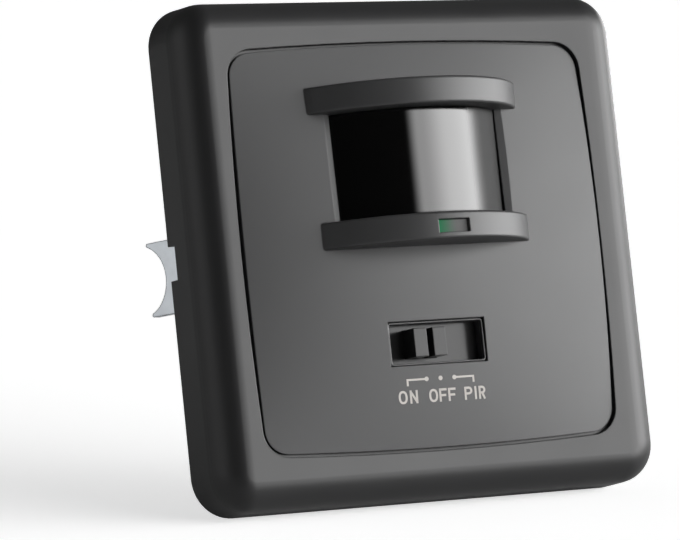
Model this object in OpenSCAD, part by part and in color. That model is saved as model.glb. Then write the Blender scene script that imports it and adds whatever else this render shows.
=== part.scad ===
// Flush-mount wall switch with a motion sensor head, a three-position slide and two spreading claws.
// x runs to the right, y to the back and z up. The wall plane is y = 0 and the front looks to -y.

/* [Cover frame] */
// Outer width and height at the wall
frame_w = 80; // [78:0.5:90]
// Depth from the wall to the front face
frame_t = 10; // [9.5:0.25:12]
// Corner radius at the wall
frame_corner_r = 6.5; // [6:0.25:9]
// Rounding of the front edge
frame_edge_r = 4.5; // [3:0.25:5]
// Narrowing of each side from the wall to the front
frame_draft = 0.5; // [0.1:0.1:0.8]
// Thickness of the side walls
frame_wall = 2.6; // [2:0.1:3.2]
// Thickness of the front
frame_front_t = 2.2; // [1.8:0.1:2.6]
// Height of the pry notch in the left side
notch_h = 5.4; // [3:0.2:10]
// Depth of the pry notch, measured from the wall
notch_d = 2.1; // [1:0.1:3]

/* [Centre plate] */
// Width and height between the middles of the bowed sides
plate_w = 64; // [62.5:0.5:66]
// Bow of each side
plate_bow = 0.9; // [0.3:0.1:1.4]
// Corner radius of the plate
plate_corner_r = 4; // [3:0.25:6]
// Radius of the domed front
dome_r = 600; // [540:10:1500]
// Height of the dome over the frame's front face
dome_top = 1.1; // [0.9:0.05:1.5]
// Thickness behind the frame's front face
plate_t = 2.2; // [2:0.1:2.6]
// Width of the channel around the plate
channel_w = 0.5; // [0.4:0.05:1]
// Depth of the channel, down to the frame's lip
channel_d = 1; // [0.7:0.05:1.2]
// Reach of the frame's lip under the plate
lip_w = 2; // [1.5:0.1:2.4]

/* [Sensor head] */
// Reach of visor and sill in front of the frame's front face
head_reach = 10; // [8:0.25:12]
// Radius of visor and sill
head_r = 23.5; // [23:0.25:26]
// Thickness of the visor
visor_t = 4.25; // [3:0.25:4.5]
// Thickness of the sill
sill_t = 4.25; // [3.5:0.25:4.5]
// Height of the sill's underside over the middle of the frame
sill_z = -0.25; // [-1:0.25:1]
// Height of the lens window
window_h = 17.1; // [15:0.1:18.5]
// Width of the lens window
window_w = 29.9; // [29.5:0.1:32]
// Distance of the lens behind the front of the visor
lens_setback = 3.5; // [3:0.1:4]
// Thickness of the lens
lens_t = 1.2; // [0.8:0.1:1.6]
// Width of the light window in the sill
light_w = 5.5; // [4.6:0.1:8]
// Height of the light window
light_h = 2.1; // [1.6:0.1:2.4]
// Depth of the light window's recess
light_setback = 0.9; // [0.4:0.1:1.5]

/* [Slide switch] */
// Width of the slot's mouth
slot_w = 17.4; // [16:0.2:20]
// Height of the slot's mouth
slot_h = 7; // [6:0.2:8]
// Height of the slot's middle over the middle of the frame
slot_z = -15.5; // [-16:0.25:-14.5]
// Travel of the slider to each side
throw = 2; // [1.5:0.25:3]
// Depth of the shutter behind the frame's front face
shutter_depth = 1.6; // [1.4:0.1:1.8]
// Thickness of the shutter
shutter_t = 1; // [0.8:0.1:1.2]
// Width of each finger rib
rib_w = 2.3; // [1.6:0.1:2.8]
// Gap between the ribs
rib_gap = 1.1; // [0.8:0.1:1.6]
// Height of the ribs
rib_h = 4.5; // [3:0.1:5]
// Height of the ribs' tops over the frame's front face
rib_rise = 2; // [1:0.1:3]

/* [Insert] */
// Gap between the mounting ring and the frame's walls
ring_gap = 1.9; // [1.4:0.1:2.4]
// Thickness of the mounting ring
ring_t = 1.2; // [1:0.1:1.4]
// Distance between the box screws
box_spacing = 60; // [60:0.5:61]
// Width of a box screw slot
box_slot_w = 3.6; // [3.2:0.1:4]
// Length of a box screw slot
box_slot_l = 6; // [5:0.2:6.4]
// Width of the housing between its flats
housing_w = 42; // [41:0.25:42]
// Wall thickness of the housing
housing_wall = 1.6; // [1.2:0.1:1.8]
// Thickness of the insert cover
cover_t = 1.8; // [1.6:0.1:2]
// Thickness of both circuit boards
board_t = 1.6; // [1:0.1:2]
// Free distance between the two boards
board_gap = 17.8; // [17.5:0.1:20]
// Reach of the terminal block behind the housing
terminal_out = 9; // [8.6:0.1:11]
// Distance between the terminals
terminal_pitch = 8; // [7.4:0.1:8.4]
// Radius of a wire entry
wire_r = 1.6; // [1.2:0.05:1.8]

/* [Claws] */
// Width of a claw
claw_w = 12; // [11:0.25:13]
// Length of a claw from its pin to its horns
claw_l = 23.4; // [22:0.2:26]
// Thickness of a claw
claw_t = 1.2; // [1:0.05:1.3]
// Slant of a claw against the housing
claw_slant = 18; // [17:0.5:22]
// Depth of the arc between the horns
horn_d = 3.9; // [2:0.1:4]
// Rounding of the horns' tips
horn_tip_r = 0.35; // [0.2:0.05:0.6]
// Height of the claws over the middle of the frame
claw_z = 0.25; // [-1:0.25:1]
// Radius of the claw screws
claw_screw_r = 1.6; // [1.4:0.05:1.65]
// Reach of a claw screw behind its nut
claw_screw_tip = 1.9; // [1:0.1:3]

/* [Hidden] */

$fn = 96;
// Facets of the very large circles, in the preview only
large_fn = 720;
// Bands that the domed front is drawn with
dome_bands = 20;
// Overshoot of a cut past the face that it opens
past = 1;

// Clearances: plate in frame, moving slider, pin in its hole, loose piece in its opening
plate_fit = 0.25;
slide_fit = 0.1;
pin_fit = 0.05;
loose_fit = 0.2;

// Depth levels, from the front to the back
front_y = -frame_t;
dome_y = front_y - dome_top;
lip_y = front_y + channel_d;
plate_back = front_y + plate_t;
shutter_y = front_y + shutter_depth;
shutter_back = shutter_y + shutter_t;
rib_y = front_y - rib_rise;
ring_y = -ring_t;
cover_y = ring_y - cover_t;
board_y = 0.6;
board_back = board_y + board_t;
power_y = board_back + board_gap;
power_back = power_y + board_t;
post_h = 0.8;
floor_y = power_back + post_h;
housing_back = floor_y + housing_wall;
terminal_back = housing_back + terminal_out;

// Cover frame
frame_half = frame_w / 2;
corner_at = frame_half - frame_corner_r;
draft_angle = atan(frame_draft / frame_t);
edge_u = frame_corner_r - (frame_edge_r + (frame_t - frame_edge_r) * sin(draft_angle)) / cos(draft_angle);
edge_v = frame_t - frame_edge_r;
cavity_w = frame_w - 2 * frame_wall;
cavity_r = frame_corner_r - frame_wall;
ring_w = cavity_w - 2 * ring_gap;

// Plate outline: four large arcs, joined by corner arcs that touch them
bow_r = (pow(plate_w / 2, 2) + pow(plate_bow, 2)) / (2 * plate_bow);
bow_at = bow_r - plate_w / 2;
corner_reach = bow_r - plate_corner_r;
plate_corner_at = (sqrt(2 * pow(corner_reach, 2) - pow(bow_at, 2)) - bow_at) / 2;
touch_angle = atan2(plate_corner_at, plate_corner_at + bow_at);

// Sensor head
head_y = front_y - head_reach + head_r;
head_edge_r = 0.4;
head_wall = 1.2;
sill_top = sill_z + sill_t;
visor_z = sill_top + window_h;
window_z = sill_top + window_h / 2;
window_flare_y = front_y - 0.25;
window_flare_slope = 0.42;
lens_r = head_r - lens_setback;
lens_half = window_w / 2 - loose_fit;
lens_end_y = head_y - sqrt(pow(lens_r, 2) - pow(lens_half, 2));
flange_t = 1;
flange_over = 1;
light_drop = 2.25;
light_z = sill_top - light_drop;
light_wall = 1.2;
pipe_w = light_w - 2 * slide_fit;
pipe_h = light_h - 2 * slide_fit;
pipe_y = front_y - head_reach + light_setback;

// Slide switch
slot_rim = 0.4;
slot_rim_d = 1.1;
slot_rim_y = dome_y + dome_fall(slot_z) + slot_rim_d;
slot_in_w = slot_w - 2 * slot_rim;
slot_in_h = slot_h - 2 * slot_rim;
slider_x = -throw;
shutter_side = 1;
shutter_edge = 0.7;
shutter_w = slot_w + 2 * (throw + shutter_side);
shutter_h = slot_h + 2 * shutter_edge;
rail_t = 1;
rail_hook = 0.8;
rail_l = shutter_w + 2 * throw;
stem_w = 2;
fork_t = 1;
fork_h = 3;
switch_w = 12.7;
switch_d = 5.8;
switch_h = 4;
shell_t = 0.3;
base_h = 2.2;
stem_foot_w = 5.6;
stem_foot_h = 1.2;
shell_y = board_y - switch_h;

// Insert
cover_inset = 4.5;
cover_h = plate_w - 2 * cover_inset;
cover_r = 6;
housing_over = 0.5;
housing_d = cover_h + 2 * housing_over;
housing_screw_r = 1.2;
housing_screw_l = 14;
housing_head_r = 2.4;
housing_head_t = 1.6;
slot_blade = 0.8;
boss_r = 2.6;
boss_inset = 0.3;
boss_z = cover_h / 2 - housing_head_r - boss_inset;
clip_x = 11;
clip_w = 6;
clip_t = 1.2;
clip_hook = 0.8;
clip_sink = 0.9;

// Circuit boards and what holds them
board_margin = 0.8;
board_w = housing_w - 2 * (housing_wall + board_margin);
board_h = 2 * (boss_z - boss_r - board_margin);
post_inset = [3.8, 4.9];
post_at = [board_w / 2 - post_inset.x, board_h / 2 - post_inset.y];
post_r = 1.7;
post_base_r = 2.4;
post_pin_r = 0.9;
opening_inset = 3.4;
opening_w = housing_w - 2 * opening_inset;
opening_h = board_h + 2 * loose_fit;
opening_r = 3;
rim_t = 1.6;

// Sensor board parts
can_r = 4.1;
can_h = 4.4;
can_flange_r = 4.6;
can_flange_t = 0.5;
detector_w = 4.2;
detector_h = 3.2;
detector_t = 0.3;
detector_sink = 0.4;
chip_w = 2;
chip_d = 1.2;
chip_h = 0.8;
chip_at = 1.4;
trimmer_w = 6.6;
trimmer_inset = 1.2;
trimmer_at = [opening_w / 2 - rim_t - trimmer_inset - trimmer_w / 2, -6];
trimmer_h = 3.4;
dial_r = 2.5;
dial_sink = 1.2;
dial_out = 0.2;
dial_slot_w = 0.7;
dial_slot_d = 0.6;
header_inset = 2.4;
header_z = header_inset - board_h / 2;
header_pins_count = 6;
header_pitch = 2.54;
header_strip = 2.5;
header_pin_r = 0.35;

// Power board parts, whose heights share the board's height
relay_size = [19, 15.5, 0.36 * board_h];
relay_at = [-1.5, 0.26 * board_h];
film_size = [18, 13.5, 0.16 * board_h];
film_at = [-7, -0.05 * board_h];
can_cap_r = 0.115 * board_h;
can_cap_h = 15;
can_cap_at = [11, -0.06 * board_h];
diode_r = 1.35;
diode_l = 0.12 * board_h;
diode_pitch = 3.8;
diode_z = -0.29 * board_h;
diode_x = 1.4;
resistor_r = 0.046 * board_h;
resistor_l = 9;
resistor_at = [-8.5, -0.22 * board_h];
lead_r = 0.35;
leg_r = 0.42;
lead_out = 1.5;
lead_rise = 0.3;

// Terminal block
terminal_w = 3 * terminal_pitch;
terminal_top = -8.4;
terminal_bottom = -19.6;
wire_l = 4.6;
clamp_w = 5.4;
clamp_d = 6.6;
clamp_rise = 2.4;
clamp_y = power_back + clamp_rise;
clamp_back = clamp_y + clamp_d;
clamp_lid = 1.2;
clamp_top = terminal_top - clamp_lid;
clamp_bottom = terminal_bottom + wire_l;
wire_off = 0.3;
wire_y = clamp_y + clamp_d / 2 - wire_off;
clamp_bore_r = wire_r + 0.1;
terminal_screw_r = 1.4;
terminal_head_r = 2;
terminal_head_t = 1.8;

// Claws
barrel_r = claw_t + 0.5;
pin_r = 0.9;
pin_head_r = 1.4;
pin_head_t = 0.5;
pivot_x = housing_w / 2 + barrel_r + loose_fit;
pivot_y = barrel_r + 1.5;
claw_slot_w = 2 * claw_screw_r + 1.4;
claw_slot_l = 14.8;
horn_at = [claw_w / 2 - horn_tip_r, claw_l - horn_tip_r];
horn_r = (pow(horn_at.x, 2) + pow(horn_d, 2)) / (2 * horn_d) - horn_tip_r;
horn_bite_y = claw_l - horn_d + horn_r;
lug_t = 1.2;
lug_w = 2 * barrel_r;
claw_screw_x = pivot_x + pin_r + claw_screw_r + 0.3;
claw_head_r = 3.2;
claw_head_t = 2.2;
nut_w = 6;
nut_t = 2.4;
nut_gap = 1.1;
nut_reach = claw_screw_x - pivot_x + nut_w / 2;
nut_y = pivot_y + (nut_reach * cos(claw_slant) - barrel_r + claw_t) / sin(claw_slant) + nut_gap;
claw_screw_l = nut_y + nut_t + claw_screw_tip - ring_y;

// Solid between two corners
module block(low, high) {
    translate(low) cube(high - low);
}

// Outline drawn in x and z, made solid between two depths
module slab(y_from, y_to) {
    translate([0, y_to, 0]) rotate([90, 0, 0]) linear_extrude(y_to - y_from) children();
}

// Round bar along y
module rod(x, z, r, y_from, y_to) {
    slab(y_from, y_to) translate([x, z]) circle(r);
}

module rounded_rect(w, h, r) {
    square([w - 2 * r, h], center = true);
    square([w, h - 2 * r], center = true);
    for (side = [-1, 1], end = [-1, 1])
        translate([side * (w / 2 - r), end * (h / 2 - r)]) circle(r);
}

module rect_at(x, z, w, h) {
    translate([x, z]) square([w, h], center = true);
}

// Bowed square of the centre plate, grown on all sides
module plate_shape(grow) {
    r = bow_r + grow;
    cut = r * cos(touch_angle) - bow_at + r * sin(touch_angle);
    intersection() {
        translate([-bow_at, 0]) circle(r, $fn = large_fn);
        translate([bow_at, 0]) circle(r, $fn = large_fn);
        translate([0, -bow_at]) circle(r, $fn = large_fn);
        translate([0, bow_at]) circle(r, $fn = large_fn);
        rotate(45) square(cut * sqrt(2), center = true);
    }
    for (side = [-1, 1], end = [-1, 1])
        translate([side * plate_corner_at, end * plate_corner_at]) circle(plate_corner_r + grow);
}

// Section of the frame's rim: u outwards from a corner's middle, v forwards from the wall
module frame_section() {
    polygon([
        [0, 0],
        [frame_corner_r, 0],
        [edge_u + frame_edge_r * cos(draft_angle), edge_v + frame_edge_r * sin(draft_angle)],
        [edge_u, edge_v],
        [edge_u, frame_t],
        [0, frame_t]
    ]);
    intersection() {
        translate([edge_u, edge_v]) circle(frame_edge_r);
        translate([edge_u, edge_v]) square(frame_edge_r);
    }
}

// Square body with rounded corners, drafted sides and a rounded front edge
module frame_body() {
    rotate([90, 0, 0]) {
        translate([-corner_at, -corner_at, 0]) cube([2 * corner_at, 2 * corner_at, frame_t]);
        for (turn = [0 : 90 : 270]) rotate([0, 0, turn]) {
            translate([corner_at, corner_at, 0]) rotate_extrude() frame_section();
            translate([corner_at, corner_at, 0]) rotate([90, 0, 0])
                linear_extrude(2 * corner_at) frame_section();
        }
    }
}

module cover_frame() {
    color([0.21, 0.21, 0.22]) difference() {
        frame_body();
        slab(front_y + frame_front_t, past) rounded_rect(cavity_w, cavity_w, cavity_r);
        slab(front_y - past, lip_y) plate_shape(channel_w);
        slab(front_y - past, past) plate_shape(-lip_w);
        block([-frame_half - past, -notch_d, -notch_h / 2], [-frame_half + frame_wall + past, past, notch_h / 2]);
    }
}

// Round slice of the sensor head with soft outer edges
module head_slice(r, z, t, edge) {
    translate([0, head_y, z]) rotate_extrude() {
        square([r - edge, t]);
        translate([0, edge]) square([r, t - 2 * edge]);
        translate([r - edge, edge]) circle(edge, $fn = 32);
        translate([r - edge, t - edge]) circle(edge, $fn = 32);
    }
}

// Everything in front of a depth
module in_front_of(y) {
    block([-frame_half, front_y - 2 * head_reach, -frame_half], [frame_half, y, frame_half]);
}

// Depth that the domed front falls back at a distance from its middle
function dome_fall(distance) = dome_r - sqrt(pow(dome_r, 2) - pow(distance, 2));

// Everything behind the domed front: a large ball, drawn as narrow cone bands around a small flat
module dome() {
    band = plate_w * 0.75 / dome_bands;
    rings = [for (i = [dome_bands : -1 : 1]) [i * band, -dome_y - dome_fall(i * band)]];
    flat = [0, -dome_y - dome_fall(band)];
    rotate([90, 0, 0]) rotate_extrude() polygon(concat([[0, 0], [dome_bands * band, 0]], rings, [flat]));
}

module plate_skin() {
    intersection() {
        union() {
            slab(dome_y - past, lip_y) plate_shape(0);
            slab(dome_y - past, plate_back) plate_shape(-lip_w - plate_fit);
        }
        dome();
    }
}

// Hollow of a head slice, open to the back
module head_hollow(z, t) {
    intersection() {
        translate([0, head_y, z + head_wall]) cylinder(r = head_r - head_wall, h = t - 2 * head_wall);
        in_front_of(plate_back + past);
    }
}

// Opening for the lens. Its upright edges are flared, and the flare leans back with the domed front
module lens_window() {
    half = window_w / 2;
    rise = window_flare_y - dome_y + past;
    run = rise / window_flare_slope;
    lean = asin(window_z / dome_r);
    block([-half, dome_y - past, sill_top], [half, plate_back + past, visor_z]);
    intersection() {
        block([-half - run, dome_y - past, sill_top], [half + run, plate_back, visor_z]);
        translate([0, window_flare_y, window_z]) rotate([-lean, 0, 0]) linear_extrude(2 * window_h, center = true)
            polygon([[-half - run, -rise], [half + run, -rise], [half, 0], [-half, 0]]);
    }
}

// Rails that carry the shutter
module shutter_rails() {
    inner = shutter_h / 2 + slide_fit;
    for (side = [-1, 1]) {
        slab(plate_back - plate_t / 2, shutter_back + slide_fit + rail_hook)
            rect_at(0, slot_z + side * (inner + rail_t / 2), rail_l, rail_t);
        slab(shutter_back + slide_fit, shutter_back + slide_fit + rail_hook)
            rect_at(0, slot_z + side * (inner - rail_hook / 2 + slide_fit), rail_l, rail_hook + 2 * slide_fit);
    }
}

// Legs that clip over the insert cover's edges
module clip_legs() {
    inner = cover_h / 2 + loose_fit;
    hook_y = cover_y + clip_sink + pin_fit;
    end_y = ring_y - loose_fit;
    for (side = [-1, 1], end = [-1, 1]) {
        slab(plate_back - plate_t / 2, end_y)
            rect_at(side * clip_x, end * (inner + clip_t / 2), clip_w, clip_t);
        slab(hook_y, end_y)
            rect_at(side * clip_x, end * (inner - clip_hook / 2 + pin_fit), clip_w, clip_hook + 2 * pin_fit);
    }
}

module centre_plate() {
    color([0.24, 0.24, 0.25]) difference() {
        union() {
            plate_skin();
            intersection() {
                union() {
                    head_slice(head_r, visor_z, visor_t, head_edge_r);
                    head_slice(head_r, sill_z, sill_t, head_edge_r);
                }
                in_front_of(front_y + plate_t / 4);
            }
            shutter_rails();
            clip_legs();
        }
        head_hollow(visor_z, visor_t);
        difference() {
            head_hollow(sill_z, sill_t);
            slab(front_y - 2 * head_reach, past) rect_at(0, sill_z, light_w + 2 * light_wall, 4 * sill_t);
        }
        lens_window();
        slab(front_y - 2 * head_reach, plate_back + past) rect_at(0, light_z, light_w, light_h);
        slab(dome_y - past, slot_rim_y) rect_at(0, slot_z, slot_w, slot_h);
        slab(dome_y - past, shutter_y) rect_at(0, slot_z, slot_in_w, slot_in_h);
        slab(shutter_y - slide_fit, shutter_back + slide_fit)
            rect_at(0, slot_z, rail_l + 2 * slide_fit, shutter_h + 2 * slide_fit);
    }
}

module infrared_lens() {
    low = sill_top + slide_fit;
    high = visor_z - slide_fit;
    flange_y = plate_back + flange_t;
    color([0.03, 0.03, 0.035]) {
        intersection() {
            translate([0, head_y, low]) difference() {
                cylinder(r = lens_r, h = high - low);
                translate([0, 0, -past]) cylinder(r = lens_r - lens_t, h = high - low + 2 * past);
            }
            block([-lens_half, front_y - head_reach, low], [lens_half, flange_y, high]);
        }
        for (side = [-1, 1])
            slab(min(lens_end_y + lens_t / 4, plate_back), flange_y)
                rect_at(side * (lens_half - lens_t / 4), window_z, lens_t / 2, high - low);
        slab(plate_back, flange_y) difference() {
            rect_at(0, window_z, window_w + 4 * flange_over, window_h + 2 * flange_over);
            rect_at(0, window_z, 2 * lens_half - 3 * lens_t, window_h - 2 * flange_over);
        }
    }
}

module light_pipe() {
    low = light_z - light_h / 2 - flange_over;
    high = light_z + pipe_h / 2;
    color([0.55, 0.62, 0.58]) {
        slab(pipe_y, board_y - chip_h - 0.3) rect_at(0, light_z, pipe_w, pipe_h);
        slab(plate_back, plate_back + flange_t)
            rect_at(0, (low + high) / 2, light_w + 2 * flange_over, high - low);
    }
}

module switch_slider() {
    fork_x = stem_w / 2 + slide_fit + fork_t / 2;
    color([0.2, 0.2, 0.21]) translate([slider_x, 0, 0]) {
        slab(shutter_y, shutter_back) rect_at(0, slot_z, shutter_w, shutter_h);
        for (side = [-1, 1]) {
            slab(rib_y, shutter_y) rect_at(side * (rib_gap + rib_w) / 2, slot_z, rib_w, rib_h);
            slab(shutter_back, shell_y - loose_fit) rect_at(side * fork_x, slot_z, fork_t, fork_h);
        }
    }
}

module slide_stem() {
    foot_y = shell_y + shell_t + slide_fit;
    color([0.85, 0.85, 0.82]) translate([slider_x, 0, 0]) {
        slab(shutter_back + slide_fit, foot_y + stem_foot_h) rect_at(0, slot_z, stem_w, stem_w);
        slab(foot_y, foot_y + stem_foot_h) rect_at(0, slot_z, stem_foot_w, switch_d - 4 * shell_t);
    }
}

module slide_switch_base() {
    color([0.12, 0.12, 0.13]) slab(board_y - base_h, board_y)
        rect_at(0, slot_z, switch_w - 2 * shell_t, switch_d - 2 * shell_t);
}

module slide_switch_shell() {
    color([0.72, 0.73, 0.75]) difference() {
        slab(shell_y, board_y) rect_at(0, slot_z, switch_w, switch_d);
        slab(shell_y + shell_t, board_y + past) rect_at(0, slot_z, switch_w - 2 * shell_t, switch_d - 2 * shell_t);
        slab(shell_y - past, board_y) rect_at(0, slot_z, stem_w + 2 * throw + 2 * loose_fit, stem_w + 2 * loose_fit);
    }
}

// Board outline that fits into the housing
module board_shape() {
    intersection() {
        square([board_w, board_h], center = true);
        circle(housing_d / 2 - housing_wall - loose_fit);
    }
}

// Four like features at the housing's posts
module at_posts() {
    for (side = [-1, 1], end = [-1, 1])
        translate([side * post_at.x, end * post_at.y]) children();
}

module sensor_board() {
    color([0.1, 0.35, 0.2]) slab(board_y, board_back) difference() {
        board_shape();
        at_posts() circle(post_pin_r + pin_fit);
    }
}

module detector_can() {
    color([0.75, 0.75, 0.76]) difference() {
        union() {
            rod(0, window_z, can_flange_r, board_y - can_flange_t, board_y);
            rod(0, window_z, can_r, board_y - can_h, board_y);
        }
        slab(board_y - can_h - past, board_y - can_h + detector_sink)
            rect_at(0, window_z, detector_w + 2 * pin_fit, detector_h + 2 * pin_fit);
    }
}

module detector_window() {
    back = board_y - can_h + detector_sink;
    color([0.25, 0.25, 0.3]) slab(back - detector_t, back) rect_at(0, window_z, detector_w, detector_h);
}

module chip(x) {
    slab(board_y - chip_h, board_y) rect_at(x, light_z, chip_w, chip_d);
}

module status_led() {
    color([0.3, 0.9, 0.45]) chip(-chip_at);
}

module light_sensor() {
    color([0.3, 0.3, 0.32]) chip(chip_at);
}

module trimmer_bodies() {
    color([0.15, 0.3, 0.55]) for (side = [-1, 1]) difference() {
        slab(board_y - trimmer_h, board_y) rect_at(side * trimmer_at.x, trimmer_at.y, trimmer_w, trimmer_w);
        rod(side * trimmer_at.x, trimmer_at.y, dial_r + pin_fit,
            board_y - trimmer_h - past, board_y - trimmer_h + dial_sink);
    }
}

// Dial of a trimmer, slotted for a screwdriver
module dial(side) {
    top = board_y - trimmer_h - dial_out;
    difference() {
        rod(side * trimmer_at.x, trimmer_at.y, dial_r, top, board_y - trimmer_h + dial_sink - pin_fit);
        slab(top - past, top + dial_slot_d)
            rect_at(side * trimmer_at.x, trimmer_at.y, dial_slot_w, 2 * dial_r + past);
    }
}

module time_dial() {
    color([0.9, 0.9, 0.86]) dial(-1);
}

module brightness_dial() {
    color([0.9, 0.9, 0.86]) dial(1);
}

// Pin places of the header between the boards
module at_header_pins() {
    for (i = [0 : header_pins_count - 1])
        translate([(i - (header_pins_count - 1) / 2) * header_pitch, header_z]) children();
}

module header_strips() {
    color([0.1, 0.1, 0.1]) for (y = [board_back, power_y - header_strip])
        slab(y, y + header_strip) difference() {
            rect_at(0, header_z, header_pins_count * header_pitch, header_strip);
            at_header_pins() circle(header_pin_r + pin_fit, $fn = 32);
        }
}

module header_pins() {
    color([0.85, 0.7, 0.35]) slab(board_back, power_y) at_header_pins() circle(header_pin_r, $fn = 32);
}

module power_board() {
    color([0.1, 0.35, 0.2]) slab(power_y, power_back) difference() {
        board_shape();
        at_posts() circle(post_r + pin_fit);
    }
}

module relay() {
    color([0.12, 0.25, 0.5]) slab(power_y - relay_size.y, power_y)
        rect_at(relay_at.x, relay_at.y, relay_size.x, relay_size.z);
}

module film_capacitor() {
    color([0.85, 0.75, 0.2]) slab(power_y - film_size.y, power_y)
        rect_at(film_at.x, film_at.y, film_size.x, film_size.z);
}

// Standing can with a rolled groove near the board
module smoothing_capacitor() {
    groove_r = 0.5;
    color([0.15, 0.15, 0.3]) difference() {
        rod(can_cap_at.x, can_cap_at.y, can_cap_r, power_y - can_cap_h, power_y);
        translate([can_cap_at.x, power_y - 2, can_cap_at.y]) rotate([90, 0, 0])
            rotate_extrude() translate([can_cap_r + groove_r / 4, 0]) circle(groove_r, $fn = 32);
    }
}

// Round body lying along x over the power board, on two bent leads
module axial_part(r, l) {
    reach = l / 2 + lead_out;
    lift = power_y - r - lead_rise;
    translate([-l / 2, lift, 0]) rotate([0, 90, 0]) cylinder(r = r, h = l);
    translate([-reach, lift, 0]) rotate([0, 90, 0]) cylinder(r = lead_r, h = 2 * reach, $fn = 32);
    for (side = [-1, 1]) rod(side * reach, 0, leg_r, lift - leg_r, power_y);
}

module rectifier_diodes() {
    color([0.13, 0.13, 0.14]) for (i = [0 : 3])
        translate([diode_x + (i - 0.5) * diode_pitch, 0, diode_z])
            rotate([0, 90, 0]) axial_part(diode_r, diode_l);
}

module fuse_resistor() {
    color([0.45, 0.6, 0.7]) translate([resistor_at.x, 0, resistor_at.y]) axial_part(resistor_r, resistor_l);
}

// Three like features at the terminals
module at_terminals() {
    for (i = [-1 : 1]) translate([i * terminal_pitch, 0, 0]) children();
}

module terminal_block() {
    color([0.88, 0.88, 0.85]) difference() {
        slab(power_back, terminal_back)
            rect_at(0, (terminal_top + terminal_bottom) / 2, terminal_w, terminal_top - terminal_bottom);
        at_terminals() {
            block([-clamp_w / 2 - loose_fit, power_back - past, clamp_bottom],
                  [clamp_w / 2 + loose_fit, clamp_back, clamp_top + loose_fit]);
            translate([0, wire_y, terminal_bottom - past]) cylinder(r = wire_r, h = wire_l + 2 * past);
            rod(0, (clamp_top + clamp_bottom) / 2, terminal_head_r + loose_fit, clamp_back - past, terminal_back + past);
        }
    }
}

module terminal_clamps() {
    color([0.8, 0.68, 0.35]) at_terminals() difference() {
        block([-clamp_w / 2, clamp_y, clamp_bottom], [clamp_w / 2, clamp_back, clamp_top]);
        translate([0, wire_y, clamp_bottom - past]) cylinder(r = clamp_bore_r, h = clamp_top - clamp_bottom);
        rod(0, (clamp_top + clamp_bottom) / 2, terminal_screw_r + pin_fit, wire_y, clamp_back + past);
    }
}

// Slotted screw along y: the head starts at the origin and looks to the back, the shaft runs to the front
module slotted_screw(head_r, head_t, shaft_r, shaft_l) {
    rotate([-90, 0, 0]) difference() {
        union() {
            cylinder(r = head_r, h = head_t);
            translate([0, 0, -shaft_l]) cylinder(r = shaft_r, h = shaft_l + head_t / 2);
        }
        translate([-slot_blade / 2, -head_r - past, head_t / 2]) cube([slot_blade, 2 * (head_r + past), head_t]);
    }
}

module terminal_screws() {
    shaft_l = clamp_back - wire_y - clamp_bore_r - pin_fit;
    color([0.75, 0.75, 0.77]) at_terminals()
        translate([0, clamp_back, (clamp_top + clamp_bottom) / 2])
            slotted_screw(terminal_head_r, terminal_head_t, terminal_screw_r, shaft_l);
}

module insert_cover() {
    undercut_y = cover_y + clip_sink;
    color([0.16, 0.16, 0.17]) difference() {
        union() {
            slab(cover_y, ring_y) rounded_rect(housing_w, cover_h, cover_r);
            slab(ring_y, board_y) rounded_rect(opening_w - 2 * loose_fit, opening_h - 2 * loose_fit, opening_r);
        }
        slab(ring_y, board_y + past) square([opening_w - 2 * rim_t, opening_h - 2 * rim_t], center = true);
        rod(0, window_z, can_flange_r + 1.5, cover_y - past, board_y);
        slab(cover_y - past, board_y) {
            rect_at(0, light_z, light_w + 2 * flange_over, light_h + 2 * flange_over);
            rect_at(0, slot_z, switch_w + 4 * loose_fit, switch_d + 4 * loose_fit);
            for (side = [-1, 1])
                rect_at(side * trimmer_at.x, trimmer_at.y, trimmer_w + 2 * loose_fit, trimmer_w + 2 * loose_fit);
        }
        for (end = [-1, 1]) {
            rod(0, end * boss_z, housing_screw_r + loose_fit, cover_y - past, board_y);
            for (side = [-1, 1]) slab(undercut_y, ring_y + past)
                rect_at(side * clip_x, end * cover_h / 2, clip_w + 2 * loose_fit, 2 * (clip_hook + loose_fit));
        }
    }
}

// Lugs on both sides of a claw, drilled for its pin
module claw_lugs() {
    inner = claw_w / 2 + loose_fit;
    difference() {
        for (end = [-1, 1]) slab(ring_y, pivot_y + barrel_r)
            rect_at(-pivot_x, claw_z + end * (inner + lug_t / 2), lug_w, lug_t);
        translate([-pivot_x, pivot_y, claw_z - claw_w]) cylinder(r = pin_r + pin_fit, h = 2 * claw_w);
    }
}

// Copies to the left and mirrored to the right
module both_sides() {
    children();
    mirror([1, 0, 0]) children();
}

module mounting_ring() {
    color([0.72, 0.74, 0.77]) {
        difference() {
            slab(ring_y, 0) rounded_rect(ring_w, ring_w, cavity_r);
            slab(ring_y - past, past) {
                rounded_rect(opening_w, opening_h, opening_r);
                for (end = [-1, 1]) {
                    rotate(90) translate([end * box_spacing / 2, 0]) {
                        square([box_slot_l - box_slot_w, box_slot_w], center = true);
                        for (tip = [-1, 1]) translate([tip * (box_slot_l - box_slot_w) / 2, 0]) circle(box_slot_w / 2);
                    }
                    translate([0, end * boss_z]) circle(housing_screw_r + loose_fit);
                    translate([end * claw_screw_x, claw_z]) circle(claw_screw_r + loose_fit);
                }
            }
        }
        both_sides() claw_lugs();
    }
}

module housing_shape(inset) {
    intersection() {
        circle(housing_d / 2 - inset);
        square([housing_w - 2 * inset, cover_h - 2 * inset], center = true);
    }
}

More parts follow.
